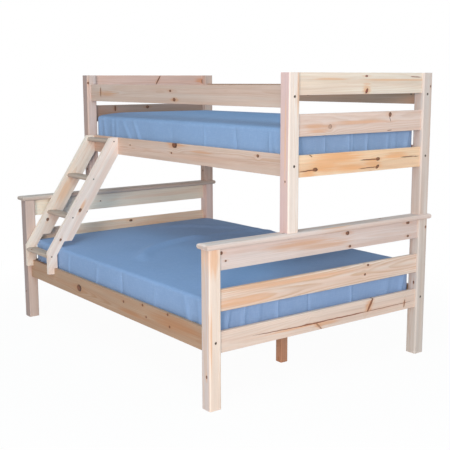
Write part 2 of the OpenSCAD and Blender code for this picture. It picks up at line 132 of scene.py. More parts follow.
def seen_or_mirrored(tree):
    """1 for what the camera sees directly, in a mirror or through glass, and 0 for light."""
    path = tree.nodes.new("ShaderNodeLightPath").outputs
    seen = math_node(tree, "MAXIMUM", path["Is Camera Ray"], path["Is Glossy Ray"])
    return math_node(tree, "MAXIMUM", seen, path["Is Transmission Ray"])


bpy.context.scene.view_settings.view_transform = "Standard"
studio = bpy.data.worlds.new("studio")
bpy.context.scene.world = studio
studio.use_nodes = True
tree = studio.node_tree
glow = tree.nodes["Background"]
glow.inputs["Color"].default_value = (0.78, 0.93, 1.0, 1)
glow.inputs["Strength"].default_value = 0.40
backdrop = tree.nodes.new("ShaderNodeBackground")
backdrop.inputs["Color"].default_value = (1, 1, 1, 1)
chosen = mix_shader(tree, seen_or_mirrored(tree), glow.outputs[0], backdrop.outputs[0])
tree.links.new(chosen, tree.nodes["World Output"].inputs[0])

for name, place, aim, size, watts, colour in (
    ("key_lamp", (6.2, -7.2, 2.6), (0, 0, 0.8), 2.6, 346, (1.0, 0.795, 0.655)),
    ("foot_lamp", (8.0, -2.2, 2.3), (0, 0, 0.7), 2.4, 119, (0.86, 0.90, 0.93)),
    ("top_lamp", (2.4, -2.4, 4.6), (0, 0, 0.5), 3.0, 84, (0.52, 0.86, 1.0)),
):
    lamp = bpy.data.objects.new(name, bpy.data.lights.new(name, "AREA"))
    lamp.data.shape = "DISK"
    lamp.data.size = size
    lamp.data.energy = watts
    lamp.data.color = colour
    lamp.location = place
    lamp.rotation_euler = (Vector(aim) - Vector(place)).to_track_quat("-Z", "Y").to_euler()
    lamp.visible_camera = False
    bpy.context.scene.collection.objects.link(lamp)

floor_radius = 14
shadow_reach = (1.2, 2.6)
bm = bmesh.new()
bmesh.ops.create_circle(bm, cap_ends=True, segments=64, radius=floor_radius)
floor = piece_of("floor", bm)
white, tree, shade = new_material("studio_floor")
shade.inputs["Base Color"].default_value = (0.82, 0.82, 0.82, 1)
shade.inputs["Roughness"].default_value = 0.9
lit = tree.nodes.new("ShaderNodeEmission")
from_bed = vector_node(tree, "LENGTH", tree.nodes.new("ShaderNodeTexCoord").outputs["Object"])
far = step_node(tree, from_bed, *shadow_reach, 0.965, 1.0)
share = math_node(tree, "MULTIPLY", seen_or_mirrored(tree), far)
chosen = mix_shader(tree, share, shade.outputs[0], lit.outputs[0])
tree.links.new(chosen, tree.nodes["Material Output"].inputs[0])
floor.data.materials.append(white)


# Posts. Eight squared lengths of knotty pine, planed and sanded but not sealed, with their
# arrises rounded over. Four stand on the floor and four on the caps of the double bed.
def times(tree, *values):
    return reduce(lambda a, b: math_node(tree, "MULTIPLY", a, b), values)


def plus(tree, *values):
    return reduce(lambda a, b: math_node(tree, "ADD", a, b), values)


def minus(tree, a, b):
    return math_node(tree, "SUBTRACT", a, b)


def split_node(tree, vector):
    at = tree.nodes.new("ShaderNodeSeparateXYZ")
    tree.links.new(vector, at.inputs[0])
    return at.outputs


def join_node(tree, *parts):
    at = tree.nodes.new("ShaderNodeCombineXYZ")
    for socket, value in zip(at.inputs, parts):
        tree.links.new(value, socket)
    return at.outputs[0]


def noise_node(tree, point, stretch, seed, detail=2.0, rough=0.5):
    """Noise from 0 to 1, with stretch as waves per metre along each axis of the point."""
    scaled = vector_node(tree, "MULTIPLY", point, stretch)
    shift = join_node(tree, *(times(tree, seed, k) for k in (3.1, 7.7, 1.3)))
    at = tree.nodes.new("ShaderNodeTexNoise")
    at.inputs["Scale"].default_value = 1.0
    at.inputs["Detail"].default_value = detail
    at.inputs["Roughness"].default_value = rough
    tree.links.new(vector_node(tree, "ADD", scaled, shift), at.inputs["Vector"])
    return at.outputs["Fac"]


def mix_node(tree, share, a, b, blend="MIX"):
    at = tree.nodes.new("ShaderNodeMix")
    at.data_type = "RGBA"
    at.blend_type = blend
    for i, value in ((0, share), (6, a), (7, b)):
        feed(tree, at.inputs[i], value)
    return at.outputs[2]


def shaded_node(tree, colour, tone):
    """A colour times a plain tone, which may go past 1."""
    grey = tree.nodes.new("ShaderNodeCombineColor")
    for socket in grey.inputs:
        tree.links.new(tone, socket)
    return mix_node(tree, 1.0, colour, grey.outputs[0], "MULTIPLY")


def bump_node(tree, height, strength, distance, normal=None):
    at = tree.nodes.new("ShaderNodeBump")
    at.inputs["Strength"].default_value = strength
    at.inputs["Distance"].default_value = distance
    tree.links.new(height, at.inputs["Height"])
    if normal:
        tree.links.new(normal, at.inputs["Normal"])
    return at.outputs[0]


def node_group(name, inputs, outputs):
    """An empty shader group with named sockets: its tree, its inputs' sockets and its output node."""
    group = bpy.data.node_groups.new(name, "ShaderNodeTree")
    for title, kind, value in inputs:
        socket = group.interface.new_socket(name=title, in_out="INPUT", socket_type="NodeSocket" + kind)
        if value is not None:
            socket.default_value = value
    for title, kind in outputs:
        group.interface.new_socket(name=title, in_out="OUTPUT", socket_type="NodeSocket" + kind)
    return group, group.nodes.new("NodeGroupInput").outputs, group.nodes.new("NodeGroupOutput").inputs


# A knot runs through a board's thickness. Grain bends round it, bark rims it, and resin stains
# the wood beside it, further along the grain than across.
knot_group, given, out = node_group(
    "pine_knot",
    [
        ("Point", "Vector", None),
        ("Centre", "Vector", None),
        ("Size", "Vector", (0.008, 0.006, 1)),
        ("Lean", "Float", 0),
        ("Dark", "Float", 1),
        ("Seed", "Float", 0),
    ],
    [("Bend", "Float"), ("Knot", "Float"), ("Bark", "Float"), ("Halo", "Float")],
)
t = knot_group
ragged = minus(t, noise_node(t, given["Point"], (90, 120, 120), given["Seed"], 3), 0.5)
away = split_node(t, vector_node(t, "SUBTRACT", given["Point"], given["Centre"]))
leaning = join_node(t, minus(t, away[0], times(t, away[1], given["Lean"])), away[1])
flat = vector_node(t, "DIVIDE", leaning, given["Size"])
apart = plus(t, vector_node(t, "LENGTH", flat), times(t, ragged, 0.7))
fall = math_node(t, "EXPONENT", times(t, math_node(t, "POWER", apart, 2.0), -0.12))
t.links.new(times(t, away[1], fall, -0.75), out["Bend"])
t.links.new(times(t, step_node(t, apart, 0.75, 1.1, 1, 0), given["Dark"]), out["Knot"])
rim = times(t, step_node(t, apart, 0.35, 0.85), step_node(t, apart, 0.9, 1.15, 1, 0))
crescent = plus(t, ragged, vector_node(t, "DOT_PRODUCT", flat, (0.3, 0, 0)))
t.links.new(times(t, rim, step_node(t, crescent, -0.25, 0.2), given["Dark"]), out["Bark"])
tail = vector_node(t, "LENGTH", vector_node(t, "MULTIPLY", flat, (0.28, 0.8, 0)))
t.links.new(step_node(t, plus(t, tail, times(t, ragged, 0.9)), 0.3, 1.25, 1, 0), out["Halo"])

# A stain is a soft streak of resin or heart wood in the face of a board.
stain_group, given, out = node_group(
    "resin_stain",
    [
        ("Point", "Vector", None),
        ("Centre", "Vector", None),
        ("Size", "Vector", (0.1, 0.02, 1)),
        ("Seed", "Float", 0),
    ],
    [("Stain", "Float")],
)
t = stain_group
away = vector_node(t, "DIVIDE", vector_node(t, "SUBTRACT", given["Point"], given["Centre"]), given["Size"])
apart = vector_node(t, "LENGTH", vector_node(t, "MULTIPLY", away, (1, 1, 0)))
streaky = minus(t, noise_node(t, given["Point"], (4, 140, 140), given["Seed"], 4), 0.5)
t.links.new(step_node(t, plus(t, apart, times(t, streaky, 1.8)), 0.3, 1.3, 0.85, 0), out["Stain"])

# A check is a fine split along the grain, open in the middle and closed at both ends. The same mark also
# paints a thin shadow line where a cap overhangs a rail.
check_and_shadow_line_group, given, out = node_group(
    "drying_check_and_shadow_line",
    [
        ("Point", "Vector", None),
        ("Start", "Vector", None),
        ("Length", "Float", 0.1),
        ("Slope", "Float", 0),
        ("Width", "Float", 0.0012),
        ("Seed", "Float", 0),
    ],
    [("Check And Shadow Line", "Float")],
)
t = check_and_shadow_line_group
away = split_node(t, vector_node(t, "SUBTRACT", given["Point"], given["Start"]))
along = math_node(t, "DIVIDE", away[0], given["Length"])
waver = times(t, minus(t, noise_node(t, given["Point"], (22, 0.1, 0.1), given["Seed"], 3), 0.5), 0.006)
beside = math_node(t, "ABSOLUTE", plus(t, minus(t, away[1], times(t, away[0], given["Slope"])), waver))
ends = times(t, step_node(t, along, 0, 0.25), step_node(t, along, 0.75, 1, 1, 0))
broken = step_node(t, noise_node(t, given["Point"], (30, 0.1, 0.1), given["Seed"], 2), 0.2, 0.5, 0.6, 1)
wide = times(t, given["Width"], ends, broken)
thin = math_node(t, "DIVIDE", beside, math_node(t, "MAXIMUM", wide, 0.00001))
t.links.new(times(t, step_node(t, thin, 0.5, 1.5, 1, 0), step_node(t, ends, 0, 0.2)), out["Check And Shadow Line"])

# Pine sawn from a log: growth rings round a pith beside the board, finer fibres, darker heart
# patches, grey end grain, and lighter arrises that are partly sanded wear and partly a painted
# highlight. Point runs along, across and through the board.
grain_group, given, out = node_group(
    "pine_grain",
    [
        ("Point", "Vector", None),
        ("Half Size", "Vector", (0.5, 0.05, 0.011)),
        ("Pith", "Vector", (0.012, 0.01, -0.05)),
        ("Seed", "Float", 0),
        ("Ring Width", "Float", 0.0045),
        ("Bend", "Float", 0),
        ("Deep Bend", "Float", 0),
        ("Knot", "Float", 0),
        ("Bark", "Float", 0),
        ("Halo", "Float", 0),
        ("Stain", "Float", 0),
        ("Check And Shadow Line", "Float", 0),
        ("Early Wood", "Color", (0.8, 0.65, 0.5, 1)),
        ("Blush And Shade", "Color", (0.75, 0.55, 0.42, 1)),
        ("Late Wood", "Color", (0.6, 0.4, 0.25, 1)),
        ("Heart Wood", "Color", (0.7, 0.4, 0.2, 1)),
        ("Knot Wood", "Color", (0.2, 0.07, 0.03, 1)),
        ("Bark Colour", "Color", (0.04, 0.016, 0.01, 1)),
        ("Painted Shade Side", "Vector", (0, 0, 0)),
        ("Figure", "Float", 0.6),
        ("Heart", "Float", 0.3),
    ],
    [("Colour", "Color"), ("Roughness", "Float"), ("Height", "Float")],
)
t = grain_group
point, seed = given["Point"], given["Seed"]
p = split_node(t, point)
pith = split_node(t, given["Pith"])
wander = times(t, minus(t, noise_node(t, point, (1.1, 4, 4), seed, 1), 0.5), 0.05)
tremble = times(t, minus(t, noise_node(t, point, (7, 28, 28), seed, 2), 0.5), 0.005)
across = minus(t, plus(t, minus(t, p[1], pith[1]), given["Bend"]), times(t, p[0], pith[0]))
deep = plus(t, minus(t, p[2], pith[2]), wander, given["Deep Bend"])
reach = math_node(t, "SQRT", plus(t, times(t, across, across), times(t, deep, deep)))
year = math_node(t, "FRACT", math_node(t, "DIVIDE", plus(t, reach, tremble), given["Ring Width"]))
thick = step_node(t, noise_node(t, point, (2.2, 30, 30), seed, 2), 0.25, 0.75, 0.25, 1.0)
late = times(t, step_node(t, year, 0.25, 0.86), step_node(t, year, 0.88, 1.0, 1, 0), thick, given["Figure"])
fibre = noise_node(t, point, (30, 1100, 1100), seed, 1)
streak = noise_node(t, point, (1.6, 60, 60), seed, 4, 0.6)
cloud = noise_node(t, point, (3, 9, 9), seed, 2)
blush_and_shade = noise_node(t, point, (1.1, 30, 30), plus(t, seed, 17.9), 3)
# Painted shade: a side vector given to the group spreads the blush over the whole of one side of a board, so
# that side reads as shaded.
blush_and_shade = step_node(t, plus(t, blush_and_shade, vector_node(t, "DOT_PRODUCT", point, given["Painted Shade Side"])), 0.42, 0.68)
colour = mix_node(t, times(t, blush_and_shade, 0.7), given["Early Wood"], given["Blush And Shade"])
colour = mix_node(t, late, colour, given["Late Wood"])
patch = step_node(t, noise_node(t, point, (1.5, 22, 22), plus(t, seed, 31.7), 2), 0.5, 0.78)
patch = plus(t, times(t, patch, given["Heart"]), times(t, given["Halo"], 0.5))
patch = math_node(t, "ADD", patch, given["Stain"], clamp=True)
colour = mix_node(t, patch, colour, given["Heart Wood"])
tone = plus(t, 0.84, times(t, streak, 0.28), times(t, minus(t, cloud, 0.5), 0.16),
            times(t, minus(t, fibre, 0.5), 0.1))
duct = step_node(t, noise_node(t, point, (45, 700, 700), plus(t, seed, 11.3), 1), 0.68, 0.8)
tone = minus(t, tone, times(t, duct, 0.14))
half = split_node(t, given["Half Size"])
left = [minus(t, half[i], math_node(t, "ABSOLUTE", p[i])) for i in range(3)]
end = step_node(t, left[0], 0.0002, 0.0015, 1, 0)
low = math_node(t, "MINIMUM", left[1], left[2])
high = math_node(t, "MAXIMUM", left[1], left[2])
arris = math_node(t, "MAXIMUM", low, math_node(t, "MINIMUM", high, left[0]))
# Arrises are lightened: partly sanded wear, partly a painted highlight on the rounded edges.
worn_and_highlit = step_node(t, plus(t, arris, times(t, streak, 0.003)), 0.0015, 0.007, 1, 0)
tone = plus(t, times(t, tone, step_node(t, end, 0, 1, 1, 0.78)), times(t, worn_and_highlit, 0.08))
colour = shaded_node(t, colour, tone)
brown = math_node(t, "MAXIMUM", given["Knot"], given["Check And Shadow Line"])
colour = mix_node(t, times(t, brown, 0.9), colour, given["Knot Wood"])
dark = math_node(t, "MAXIMUM", given["Bark"], times(t, given["Check And Shadow Line"], 0.25))
t.links.new(mix_node(t, times(t, dark, 0.9), colour, given["Bark Colour"]), out["Colour"])
t.links.new(plus(t, 0.52, times(t, fibre, 0.16), times(t, late, -0.08)), out["Roughness"])
relief = minus(t, plus(t, times(t, fibre, 0.5), times(t, late, 0.6)), duct)
t.links.new(minus(t, relief, times(t, dark, 2)), out["Height"])


slat_w, stile_w = 0.07, 0.12
past_its_ends = 2


def lie_of(size, along, gang):
    """How a board lies: the turn from its own axes, along, across and through it, half its size along
    each, and the bed's axis that runs through its thickness."""
    order = [1, 0, 2] if gang else sorted(range(3), key=lambda i: -size[i])
    axes = [Vector([1.0 if i == k else 0.0 for i in range(3)]) for k in order]
    half = [size[k] / 2 for k in order]
    if gang:
        half[1] = slat_w / 2
    if along is not None:
        axes[0], axes[2] = Vector(along).normalized(), Vector((1, 0, 0))
        axes[1] = axes[2].cross(axes[0])
        half = [past_its_ends, stile_w / 2, size.x / 2]
    axes[2] = axes[0].cross(axes[1])
    return Matrix(axes).transposed(), half, order[2]


def add_marks(t, grain, marks, point, seed, square, half):
    """Adds groups for knots, stains and checks. A post's marks on its narrower side go round the corner."""
    if square:
        place = split_node(t, point)
        beside = join_node(t, place[0], place[2], place[1])
    sums = {}
    for i, (group, values) in enumerate(marks):
        mark = t.nodes.new("ShaderNodeGroup")
        mark.node_tree = group
        key = "Start" if "Start" in values else "Centre"
        round_corner = square and abs(values[key].y) > 0.9 * half[1]
        if round_corner:
            values[key] = values[key].xzy
        t.links.new(beside if round_corner else point, mark.inputs["Point"])
        mark.inputs["Seed"].default_value = seed + i * 1.7
        for key, value in values.items():
            mark.inputs[key].default_value = value
        for socket in mark.outputs:
            join = "ADD" if socket.name == "Bend" else "MAXIMUM"
            key = "Deep Bend" if round_corner and socket.name == "Bend" else socket.name
            sums[key] = math_node(t, join, sums[key], socket) if key in sums else socket
    for key, value in sums.items():
        t.links.new(value, grain.inputs[key])


def pine(names, wood, knots=(), stains=(), checks_and_shadow_lines=(), ring=0.0045, figure=0.5, heart=0.25, few=2, along=None,
         gang=0, painted_shade_side=(0, 0, 0), blush_and_shade=(0.92, 0.80, 0.74), knot_wood=(128, 78, 54), pith=None):
    """Gives CAD boards their pine, by the colour of its early wood. Places are in the bed's frame, in
    metres: three coordinates on a post, and on a board the two in its broad face, which is the one that
    the camera sees. knots and stains are (place, half length, half width), a knot's lean and darkness may
    follow, and checks are (from, to, half width); the same checks also paint thin shadow lines. A board
    with no knots gets up to few small ones. pinker points to a side whose faces take the blush colour all
    over, as painted shade on that side. along turns a sloping board's grain, and gang counts like boards
    in a row. pith is its slope and place."""
    for name in names if isinstance(names, list) else [names]:
        low, high = (Vector(c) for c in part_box(name))
        middle, size = (low + high) / 2, high - low
        turn, half, thin = lie_of(size, along, gang)
        dice = random.Random(name)
        seed = dice.uniform(0, 40)
        material, t, surface = new_material(name + "_pine")
        mapping = t.nodes.new("ShaderNodeMapping")
        mapping.vector_type = "TEXTURE"
        mapping.inputs["Location"].default_value = middle
        mapping.inputs["Rotation"].default_value = turn.to_euler("XYZ")
        t.links.new(t.nodes.new("ShaderNodeTexCoord").outputs["Object"], mapping.inputs["Vector"])
        point = mapping.outputs[0]
        grain = t.nodes.new("ShaderNodeGroup")
        grain.node_tree = grain_group
        grain.inputs["Seed"].default_value = seed
        if gang:
            pitch = (size.x - slat_w) / (gang - 1)
            place = split_node(t, point)
            in_slat = minus(t, math_node(t, "WRAP", place[1], pitch, 0.0), pitch / 2)
            which = math_node(t, "FLOOR", math_node(t, "DIVIDE", place[1], pitch))
            point = join_node(t, place[0], in_slat, place[2])
            t.links.new(math_node(t, "MULTIPLY_ADD", which, 3.7, seed), grain.inputs["Seed"])
        t.links.new(point, grain.inputs["Point"])

        def local(at):
            at = list(at)
            if len(at) == 2:
                at.insert(thin, low.y if thin == 1 else high[thin])
            return turn.transposed() @ (Vector(at) - middle)

        square = half[1] < 2 * half[2]
        spots = [(local(at), a, b, *more) for at, a, b, *more in knots]
        if not spots:
            for _ in range(dice.randint(1, few) if few else 0):
                r = dice.uniform(0.0035, 0.007)
                along_it, across_it = dice.uniform(-0.9, 0.9) * half[0], dice.uniform(-0.8, 0.8) * half[1]
                at = Vector((along_it, across_it, half[2]))
                spots.append((at.xzy if square and dice.random() < 0.5 else at, r * 1.3, r))
        marks = [
            (knot_group, {"Centre": at, "Size": (a, b, 1), **dict(zip(("Lean", "Dark"), more))})
            for at, a, b, *more in spots
        ]
        marks += [(stain_group, {"Centre": local(at), "Size": (a, b, 1)}) for at, a, b in stains]
        for start, stop, width in checks_and_shadow_lines:
            a, b = sorted((local(start), local(stop)), key=lambda v: v.x)
            run = (b - a).xzy if square and abs(a.y) > 0.9 * half[1] else b - a
            lean = run.y / run.x
            wide = width * math.hypot(1, lean)
            marks.append((check_and_shadow_line_group, {"Start": a, "Length": run.x, "Slope": lean, "Width": wide}))
        add_marks(t, grain, marks, point, seed, square, half)
        shares = {
            "Early Wood": (1, 1, 1),
            "Blush And Shade": blush_and_shade,
            "Late Wood": (0.80, 0.63, 0.48),
            "Heart Wood": (0.93, 0.68, 0.50),
        }
        values = {key: tuple(c * k for c, k in zip(wood, part)) + (1,) for key, part in shares.items()}
        values["Pith"] = pith or (
            dice.uniform(0.006, 0.02) * dice.choice((-1, 1)),
            dice.uniform(-0.02, 0.02),
            dice.uniform(0.035, 0.07) * dice.choice((-1, 1)),
        )
        values["Ring Width"] = ring * dice.uniform(0.85, 1.2)
        values["Half Size"] = half
        values["Knot Wood"] = srgb(*knot_wood)
        values["Bark Colour"] = srgb(66, 42, 34)
        values["Painted Shade Side"] = turn.transposed() @ Vector(painted_shade_side)
        values["Figure"] = figure
        values["Heart"] = heart
        for key, value in values.items():
            grain.inputs[key].default_value = value
        bump = bump_node(t, grain.outputs["Height"], 0.35, 0.0004)
        t.links.new(bump, surface.inputs["Normal"])
        t.links.new(grain.outputs["Colour"], surface.inputs["Base Color"])
        t.links.new(grain.outputs["Roughness"], surface.inputs["Roughness"])
        surface.inputs["Specular IOR Level"].default_value = 0.3
        dress(name, material)


def dress(name, material):
    """Gives a CAD node its material."""
    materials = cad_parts[name].data.materials
    materials.clear()
    materials.append(material)


cream = srgb(243, 226, 212)
pinkish = srgb(222, 196, 184)
# Painted shade: the front posts' faces toward the ladder side and the head end take a darker blush colour,
# which stands in for the shade on those sides.
painted_shade_sides = (-30, -30, 0)
pine("double_post_foot_front", srgb(250, 228, 214),
     knots=[((1.0, -0.726, 0.16), 0.008, 0.006)],
     stains=[
         ((1.025, -0.700, 0.702), 0.08, 0.03), ((1.025, -0.700, 0.715), 0.06, 0.03),
         ((1.025, -0.716, 0.35), 0.16, 0.006),
     ],
     painted_shade_side=painted_shade_sides, blush_and_shade=(0.68, 0.71, 0.82))
pine("double_post_foot_back", srgb(224, 211, 204),
     knots=[((1.025, 0.712, 0.705), 0.007, 0.006), ((1.0, 0.660, 0.4), 0.009, 0.006)])
pine("double_post_head_front", srgb(219, 195, 185), few=3, painted_shade_side=painted_shade_sides, blush_and_shade=(0.38, 0.40, 0.48))
pine("double_post_head_back", srgb(238, 217, 213), few=3)
pine("single_post_foot_front", srgb(249, 231, 221),
     knots=[((1.0, -0.268, 1.02), 0.006, 0.004)],
     stains=[((1.025, -0.212, 1.44), 0.12, 0.009), ((1.0, -0.268, 1.2), 0.2, 0.008)],
     checks_and_shadow_lines=[((1.025, -0.214, 1.36), (1.025, -0.212, 1.50), 0.0005)],
     painted_shade_side=painted_shade_sides, blush_and_shade=(0.72, 0.54, 0.62))
pine("single_post_foot_back", srgb(226, 212, 206), knots=[((1.025, 0.712, 1.455), 0.006, 0.005)])
pine("single_post_head_front", srgb(226, 203, 195),
     heart=0.5, few=3, painted_shade_side=painted_shade_sides, blush_and_shade=(0.42, 0.38, 0.42))
pine("single_post_head_back", pinkish, few=3)

# Caps. A moulded pine board lies flat across each end of the double, with a bull nose all round.
# It is pinned and glued down, hides the posts' end grain and carries the single bed.
pine("double_cap_foot", srgb(237, 219, 213),
     knots=[((1.0, -0.275), 0.012, 0.006), ((0.98, 0.4), 0.008, 0.006)],
     stains=[((1.03, 0.05), 0.12, 0.008)])
pine("double_cap_head", srgb(214, 200, 192))

# End rails. Three planed boards at each end of each bed, tenoned and glued into the posts.
# Their marks are placed across the bed and up it.
pine("double_top_rail_foot", srgb(230, 212, 207), figure=0.3,
     knots=[
         ((-0.651, 0.729), 0.010, 0.008), ((-0.626, 0.690), 0.006, 0.005), ((0.135, 0.733), 0.013, 0.010),
         ((0.154, 0.664), 0.009, 0.007), ((0.582, 0.741), 0.013, 0.009), ((0.585, 0.668), 0.009, 0.007),
     ],
     stains=[((-0.02, 0.690), 0.20, 0.016), ((-0.18, 0.715), 0.22, 0.02)],
     # The check along the whole top edge is a painted shadow: a thin dark line where the cap overhangs the
     # rail.
     checks_and_shadow_lines=[((-0.75, 0.7483), (0.75, 0.7483), 0.0013)])
pine("double_mid_rail_foot", srgb(242, 219, 206),
     ring=0.0062, figure=1.25, heart=0.5, pith=(0.022, -0.006, -0.034),
     knots=[((0.288, 0.549), 0.008, 0.007), ((0.267, 0.502), 0.008, 0.006)],
     stains=[((-0.12, 0.541), 0.42, 0.016), ((-0.45, 0.552), 0.25, 0.02), ((-0.52, 0.49), 0.2, 0.03)])
pine("double_bottom_rail_foot", srgb(238, 213, 199), figure=0.35, knot_wood=(150, 88, 58),
     knots=[
         ((0.312, 0.335), 0.0085, 0.036, 0.58), ((0.575, 0.299), 0.004, 0.023, 0.14),
         ((-0.051, 0.284), 0.007, 0.020, -0.97, 0.6),
     ],
     stains=[((0.0, 0.290), 0.10, 0.012), ((0.30, 0.33), 0.03, 0.03), ((-0.2, 0.30), 0.25, 0.006)],
     checks_and_shadow_lines=[
         ((-0.50, 0.313), (0.02, 0.299), 0.0020), ((-0.26, 0.306), (0.34, 0.3005), 0.0030),
         ((0.24, 0.301), (0.66, 0.302), 0.0016),
     ])
# Painted light: the double's top and mid head rails are given a paler colour than their wood, for the light
# that reaches them under the single bed.
pine("double_top_rail_head", srgb(255, 247, 232), figure=0.25, heart=0.05,
     knots=[((-0.18, 0.700), 0.005, 0.004)])
pine("double_mid_rail_head", srgb(255, 239, 221), heart=0.7, knots=[((0.05, 0.545), 0.014, 0.008)])
pine("double_bottom_rail_head", cream)
pine("single_top_rail_foot", srgb(242, 225, 210), ring=0.006, figure=0.35, knot_wood=(142, 58, 48),
     knots=[((0.245, 1.509), 0.010, 0.005), ((0.248, 1.436), 0.009, 0.013, 0.4)],
     stains=[((0.44, 1.489), 0.26, 0.007), ((0.0, 1.495), 0.14, 0.006), ((0.248, 1.45), 0.03, 0.03)],
     checks_and_shadow_lines=[((0.56, 1.506), (0.655, 1.503), 0.0020)])
pine("single_mid_rail_foot", srgb(236, 211, 200),
     knots=[((0.003, 1.269), 0.013, 0.012, 0, 0.4), ((0.421, 1.316), 0.011, 0.012)],
     stains=[((0.22, 1.285), 0.22, 0.010), ((-0.09, 1.272), 0.08, 0.014), ((-0.07, 1.25), 0.07, 0.01)],
     checks_and_shadow_lines=[((0.415, 1.310), (0.430, 1.278), 0.0018), ((0.40, 1.236), (0.44, 1.237), 0.0018)])
pine("single_bottom_rail_foot", srgb(254, 219, 186), heart=0.3, ring=0.006,
     knots=[
         ((-0.091, 1.067), 0.017, 0.009), ((0.340, 1.094), 0.015, 0.009),
         ((0.337, 1.055), 0.012, 0.010, 0.6),
     ],
     stains=[
         ((0.05, 1.115), 0.17, 0.05), ((-0.02, 1.09), 0.10, 0.05), ((0.15, 1.06), 0.16, 0.02),
         ((0.30, 1.075), 0.06, 0.025), ((0.463, 1.103), 0.10, 0.02), ((-0.13, 1.05), 0.06, 0.02),
     ],
     checks_and_shadow_lines=[
         ((-0.20, 1.0615), (-0.085, 1.067), 0.0028), ((0.205, 1.0945), (0.35, 1.094), 0.0028),
         ((0.195, 1.050), (0.345, 1.056), 0.0022), ((0.50, 1.094), (0.67, 1.092), 0.0026),
         ((-0.133, 1.144), (-0.108, 1.128), 0.0026),
     ])
pine("single_top_rail_head", srgb(238, 200, 185),
     knots=[((0.29, 1.495), 0.005, 0.03, 0.6), ((0.66, 1.485), 0.008, 0.016)],
     stains=[((0.64, 1.49), 0.05, 0.02)])
# Painted shade: this board is given a darker colour than its wood, for the shade behind the mattress and
# under the guard rail.
pine("single_mid_rail_head", srgb(183, 155, 142),
     knots=[((-0.05, 1.31), 0.006, 0.02), ((0.2, 1.315), 0.012, 0.01)])
pine("single_bottom_rail_head", pinkish)

# Side and guard rails. Long planed boards between the posts, on dowels, and drawn up tight by
# bolts into barrel nuts. Their marks are placed along the bed and up it.
tan = srgb(191, 159, 135)
honey = srgb(226, 199, 185)
pine("double_side_rail_front", tan, figure=0.8,
     knots=[
         ((-0.300, 0.318), 0.027, 0.020, 0, 1.35), ((0.211, 0.345), 0.008, 0.007),
         ((0.405, 0.367), 0.009, 0.007), ((0.438, 0.312), 0.007, 0.006), ((0.640, 0.370), 0.008, 0.006),
         ((0.656, 0.312), 0.007, 0.007),
     ],
     stains=[((0.72, 0.335), 0.24, 0.035), ((0.30, 0.30), 0.15, 0.015)])
pine("double_side_rail_back", tan)
pine("single_side_rail_front", honey, figure=0.8,
     knots=[
         ((0.019, 1.135), 0.025, 0.017, 0, 1.2), ((-0.013, 1.088), 0.007, 0.006),
         ((-0.472, 1.106), 0.006, 0.005), ((0.765, 1.124), 0.010, 0.008),
     ],
     stains=[((0.28, 1.112), 0.12, 0.009), ((0.08, 1.134), 0.08, 0.006), ((0.0, 1.14), 0.06, 0.022)])
pine("single_side_rail_back", honey)
pine("guard_rail_front", srgb(215, 193, 182),
     knots=[
         ((-0.826, 1.421), 0.005, 0.030), ((-0.017, 1.434), 0.010, 0.007), ((0.022, 1.386), 0.014, 0.010),
     ],
     stains=[((0.03, 1.386), 0.04, 0.014), ((-0.75, 1.41), 0.12, 0.02)])
pine("guard_rail_back", srgb(193, 157, 134), knots=[((0.1, 1.405), 0.012, 0.008)])

# Bed bases. Cleats glued along the side rails carry loose slats, and under the double a beam
# lies in two notched cradles and stands on two legs.
pine(["double_cleat_front", "double_cleat_back", "single_cleat_front", "single_cleat_back"], cream)
pine(["centre_beam", "beam_cradle_foot", "beam_cradle_head"], tan)
pine(["centre_leg_foot", "centre_leg_head"], srgb(206, 160, 134), figure=0.9)
pine(["double_slats", "single_slats"], cream, few=0, gang=14)

# Ladder. Two sloping stiles notched over the double's rail, with four bull-nosed treads housed
# and screwed between them. The stiles' marks are placed across the bed and up it.
slope = (0, math.cos(math.radians(56.5)), math.sin(math.radians(56.5)))
pine("ladder_stile_right", srgb(251, 235, 226), along=slope, figure=0.3,
     knots=[
         ((-0.519, 0.713), 0.014, 0.009), ((-0.467, 0.697), 0.009, 0.007), ((-0.655, 0.545), 0.009, 0.007),
     ],
     stains=[((-0.50, 0.74), 0.05, 0.012)])
pine("ladder_stile_left", srgb(255, 240, 227), along=slope, figure=0.4,
     knots=[((-0.594, 0.624), 0.012, 0.009), ((-0.422, 0.972), 0.009, 0.006)],
     stains=[((-0.47, 0.80), 0.10, 0.03)])
pine([f"ladder_tread_{k}" for k in range(1, 5)], srgb(198, 180, 168), few=1, figure=0.7)


# Hardware. Zinc-plated bolts, barrel nuts, pins and screws, gone a little dull, and turned beech
# dowels. They sit in bores in the boards, and only the bolts' and screws' heads show.
def plain(names, colour, metal, rough):
    """A mottled finish, from its roughness where it is smoothest."""
    material, t, surface = new_material(names[0] + "_finish")
    seed = t.nodes.new("ShaderNodeValue")
    seed.outputs[0].default_value = 4.0
    place = t.nodes.new("ShaderNodeTexCoord")
    mottle = noise_node(t, place.outputs["Object"], (160, 160, 160), seed.outputs[0], 3)
    dark = tuple(c * 0.55 for c in colour[:3]) + (1,)
    t.links.new(mix_node(t, mottle, dark, colour), surface.inputs["Base Color"])
    t.links.new(step_node(t, mottle, 0.2, 0.8, rough, rough + 0.2), surface.inputs["Roughness"])
    surface.inputs["Metallic"].default_value = metal
    for name in names:
        dress(name, material)


beds = ("double", "single")
zinc = [f"{bed}_{kind}" for kind in ("bolts", "barrel_nuts") for bed in beds]
zinc += ["locating_pins", "ladder_screws"]
plain(zinc, srgb(112, 104, 96), metal=0.9, rough=0.35)
dowels = ["double_rail_dowels", "single_rail_dowels", "cap_dowels"]
plain(dowels, srgb(206, 172, 132), metal=0.0, rough=0.6)


